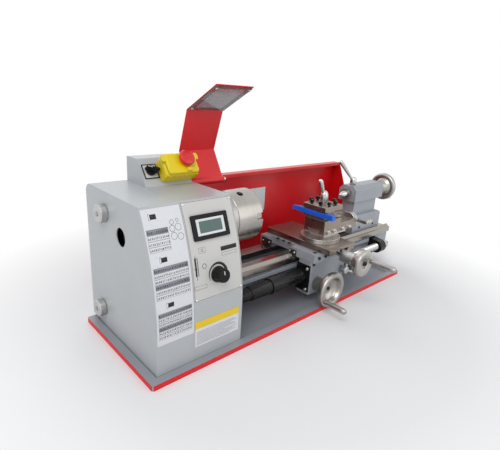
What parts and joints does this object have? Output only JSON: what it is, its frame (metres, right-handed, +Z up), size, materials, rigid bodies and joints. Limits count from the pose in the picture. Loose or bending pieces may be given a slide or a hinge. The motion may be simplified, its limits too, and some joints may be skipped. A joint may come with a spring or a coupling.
{
  "type": "bench metal lathe",
  "caption": "Compact bench lathe for turning metal, with headstock, three-jaw chuck, carriage, tailstock, chuck guard and splash guard on a chip tray.",
  "frame": {"origin": "centre of the chip tray's underside", "axes": "+X along the bed from headstock to tailstock, -Y towards the operator, +Z up"},
  "size_m": [0.8595, 0.3783, 0.456],
  "materials": {
    "tray": "satin powder coat",
    "bed_paint": "painted casting with ground ways",
    "ground_steel": "ground",
    "casting_grey": "satin paint on casting",
    "housing_grey": "satin powder coat",
    "black_metal": "satin",
    "black_plastic": "matte",
    "yellow_plastic": "gloss",
    "red_plastic": "gloss",
    "red_sheet": "gloss powder coat",
    "motor_paint": "satin",
    "aluminium": "turned",
    "rubber": "matte",
    "steel": "turned",
    "chuck_steel": "polished",
    "window": "clear sheet",
    "bright_steel": "polished",
    "black_oxide": "blackened",
    "tool_blue": "gloss paint"
  },
  "bodies": {
    "machine": {"chip_tray": "tray", "bed": "bed_paint", "rack": "ground_steel", "leadscrew_bracket": "black_metal", "headstock_casting": "casting_grey", "spindle_bearings": "steel", "headstock_housing": "housing_grey", "end_plate": "casting_grey", "end_cover": "housing_grey", "cover_nuts": "black_plastic", "display_bezel": "black_plastic", "switch_box": "housing_grey", "stop_housing": "yellow_plastic", "motor": "motor_paint", "drive_belt": "rubber", "banjo": "steel", "guard_rod": "steel", "splash_guard": "red_sheet", "screw_cover_inner": "black_plastic"},
    "spindle": {"spindle": "steel", "spindle_pulley": "aluminium", "spindle_gear": "steel", "chuck_body": "chuck_steel"},
    "chuck_key_socket": {"chuck_pinion": "black_oxide"},
    "jaw_1": {"chuck_jaw_1": "steel"},
    "jaw_2": {"chuck_jaw_2": "steel"},
    "jaw_3": {"chuck_jaw_3": "steel"},
    "motor_drive": {"motor_pulley": "aluminium"},
    "idler": {"stud_gear": "steel"},
    "leadscrew": {"leadscrew": "steel", "leadscrew_gear": "steel"},
    "speed_control": {"speed_knob": "black_plastic"},
    "direction_switch": {"selector_knob": "black_plastic"},
    "stop_lid": {"stop_lid": "yellow_plastic"},
    "stop_button": {"stop_mushroom": "red_plastic"},
    "chuck_guard": {"chuck_guard": "red_sheet", "guard_window": "window"},
    "carriage": {"saddle": "casting_grey", "apron": "casting_grey", "screw_cover_outer": "black_plastic", "cross_screw_bracket": "aluminium"},
    "cover_middle": {"screw_cover_middle": "black_plastic"},
    "carriage_wheel": {"carriage_handwheel": "aluminium"},
    "carriage_grip": {"carriage_grip": "bright_steel"},
    "halfnut_lever": {"halfnut_lever": "aluminium"},
    "cross_slide": {"cross_slide": "ground_steel"},
    "cross_dial": {"cross_dial": "aluminium"},
    "cross_grip": {"cross_grip": "bright_steel"},
    "compound": {"swivel_base": "ground_steel"},
    "top_slide": {"top_slide": "ground_steel"},
    "top_dial": {"top_dial": "aluminium"},
    "toolpost": {"toolpost": "ground_steel", "toolpost_screws": "black_oxide", "tool_bit": "tool_blue"},
    "toolpost_lever": {"toolpost_lever": "bright_steel"},
    "tailstock": {"tailstock": "casting_grey"},
    "quill": {"quill": "steel", "centre": "bright_steel"},
    "tail_wheel": {"tail_handwheel": "aluminium"},
    "tail_lever": {"tail_lever": "bright_steel"}
  },
  "joints": [
    {"name": "spindle_turn", "type": "hinge", "parent": "machine", "child": "spindle", "pos_m": [0, 0, 0.21], "axis": [1, 0, 0], "continuous": true},
    {"name": "chuck_key_turn", "type": "hinge", "parent": "spindle", "child": "chuck_key_socket", "pos_m": [-0.121, 0, 0.21], "axis": [0, -0.3584, 0.9336], "range_deg": [0, 3960]},
    {"name": "jaw_1_slide", "type": "slide", "parent": "spindle", "child": "jaw_1", "axis": [0, -0.9877, 0.1564], "range_m": [0, 0.022]},
    {"name": "jaw_2_slide", "type": "slide", "parent": "spindle", "child": "jaw_2", "axis": [0, 0.3584, -0.9336], "range_m": [0, 0.022]},
    {"name": "jaw_3_slide", "type": "slide", "parent": "spindle", "child": "jaw_3", "axis": [0, 0.6293, 0.7771], "range_m": [0, 0.022]},
    {"name": "motor_pulley_turn", "type": "hinge", "parent": "machine", "child": "motor_drive", "pos_m": [0, 0.092, 0.072], "axis": [1, 0, 0], "continuous": true},
    {"name": "idler_turn", "type": "hinge", "parent": "machine", "child": "idler", "pos_m": [0, -0.02275, 0.14169], "axis": [1, 0, 0], "continuous": true},
    {"name": "leadscrew_turn", "type": "hinge", "parent": "machine", "child": "leadscrew", "pos_m": [0, -0.069, 0.068], "axis": [1, 0, 0], "continuous": true},
    {"name": "speed_knob_turn", "type": "hinge", "parent": "machine", "child": "speed_control", "pos_m": [-0.236, -0.1029, 0.153], "axis": [0, 0.9836, -0.1806], "range_deg": [0, 280]},
    {"name": "direction_switch_turn", "type": "hinge", "parent": "machine", "child": "direction_switch", "pos_m": [-0.265, 0.06458, 0.29901], "axis": [0, -0.8004, 0.5994], "range_deg": [-45, 45]},
    {"name": "stop_lid_swing", "type": "hinge", "parent": "machine", "child": "stop_lid", "pos_m": [-0.216, 0.05414, 0.3287], "axis": [-1, 0, 0], "range_deg": [0, 95]},
    {"name": "stop_button_press", "type": "slide", "parent": "stop_lid", "child": "stop_button", "axis": [0, 0.8004, -0.5994], "range_m": [0, 0.003], "stiffness_N_per_m": 400, "springref_m": -0.002},
    {"name": "chuck_guard_swing", "type": "hinge", "parent": "machine", "child": "chuck_guard", "pos_m": [0, 0.072, 0.268], "axis": [1, 0, 0], "range_deg": [0, 90]},
    {"name": "carriage_handwheel_turn", "type": "hinge", "parent": "carriage", "child": "carriage_wheel", "pos_m": [0.056, -0.11, 0.049], "axis": [0, 1, 0], "range_deg": [-1800, 990]},
    {"name": "carriage_slide", "type": "slide", "parent": "machine", "child": "carriage", "axis": [1, 0, 0], "range_m": [-0.1, 0.055]},
    {"name": "cover_middle_slide", "type": "slide", "parent": "machine", "child": "cover_middle", "axis": [1, 0, 0], "range_m": [-0.05, 0.0275]},
    {"name": "carriage_grip_spin", "type": "hinge", "parent": "carriage_wheel", "child": "carriage_grip", "pos_m": [0.029, -0.167, 0.03], "axis": [0, 1, 0], "continuous": true},
    {"name": "halfnut_lever_turn", "type": "hinge", "parent": "carriage", "child": "halfnut_lever", "pos_m": [0.149, -0.098, 0.06], "axis": [0, 1, 0], "range_deg": [0, 35]},
    {"name": "cross_dial_turn", "type": "hinge", "parent": "carriage", "child": "cross_dial", "pos_m": [0.094, -0.176, 0.118], "axis": [0, 1, 0], "range_deg": [0, 7920]},
    {"name": "cross_slide_feed", "type": "slide", "parent": "carriage", "child": "cross_slide", "axis": [0, 1, 0], "range_m": [0, 0.055]},
    {"name": "cross_grip_spin", "type": "hinge", "parent": "cross_dial", "child": "cross_grip", "pos_m": [0.116, -0.213, 0.118], "axis": [0, 1, 0], "continuous": true},
    {"name": "compound_swivel", "type": "hinge", "parent": "cross_slide", "child": "compound", "pos_m": [0.094, -0.06, 0.143], "axis": [0, 0, 1], "range_deg": [-45, 45]},
    {"name": "top_slide_feed", "type": "slide", "parent": "compound", "child": "top_slide", "axis": [1, 0, 0], "range_m": [-0.03, 0.01]},
    {"name": "top_dial_turn", "type": "hinge", "parent": "top_slide", "child": "top_dial", "pos_m": [0.215, -0.054, 0.162], "axis": [-1, 0, 0], "range_deg": [-1800, 5400]},
    {"name": "toolpost_turn", "type": "hinge", "parent": "top_slide", "child": "toolpost", "pos_m": [0.119, -0.04, 0.198], "axis": [0, 0, 1], "continuous": true},
    {"name": "toolpost_lever_turn", "type": "hinge", "parent": "top_slide", "child": "toolpost_lever", "pos_m": [0.119, -0.04, 0.228], "axis": [0, 0, 1], "range_deg": [-60, 60]},
    {"name": "tailstock_slide", "type": "slide", "parent": "machine", "child": "tailstock", "axis": [1, 0, 0], "range_m": [-0.06, 0.025]},
    {"name": "tail_handwheel_turn", "type": "hinge", "parent": "tailstock", "child": "tail_wheel", "pos_m": [0.448, 0, 0.21], "axis": [-1, 0, 0], "range_deg": [-1980, 7200]},
    {"name": "quill_slide", "type": "slide", "parent": "tailstock", "child": "quill", "axis": [-1, 0, 0], "range_m": [-0.011, 0.04]},
    {"name": "tail_lever_turn", "type": "hinge", "parent": "tailstock", "child": "tail_lever", "pos_m": [0.292, 0, 0.24], "axis": [0, 0, 1], "range_deg": [-50, 40]}
  ],
  "couplings": [
    {"joint": "jaw_2_slide", "follows": "jaw_1_slide", "ratio": 1},
    {"joint": "jaw_3_slide", "follows": "jaw_1_slide", "ratio": 1},
    {"joint": "chuck_key_turn", "follows": "jaw_1_slide", "rad_per_m": 3141.6},
    {"joint": "motor_pulley_turn", "follows": "spindle_turn", "ratio": 2.5714},
    {"joint": "idler_turn", "follows": "spindle_turn", "ratio": -0.38462},
    {"joint": "leadscrew_turn", "follows": "spindle_turn", "ratio": 0.57143},
    {"joint": "carriage_handwheel_turn", "follows": "carriage_slide", "rad_per_m": 314.16},
    {"joint": "cover_middle_slide", "follows": "carriage_slide", "ratio": 0.5},
    {"joint": "cross_dial_turn", "follows": "cross_slide_feed", "rad_per_m": 2513.3},
    {"joint": "top_dial_turn", "follows": "top_slide_feed", "rad_per_m": -3141.6},
    {"joint": "quill_slide", "follows": "tail_handwheel_turn", "m_per_rad": 0.00031831}
  ]
}
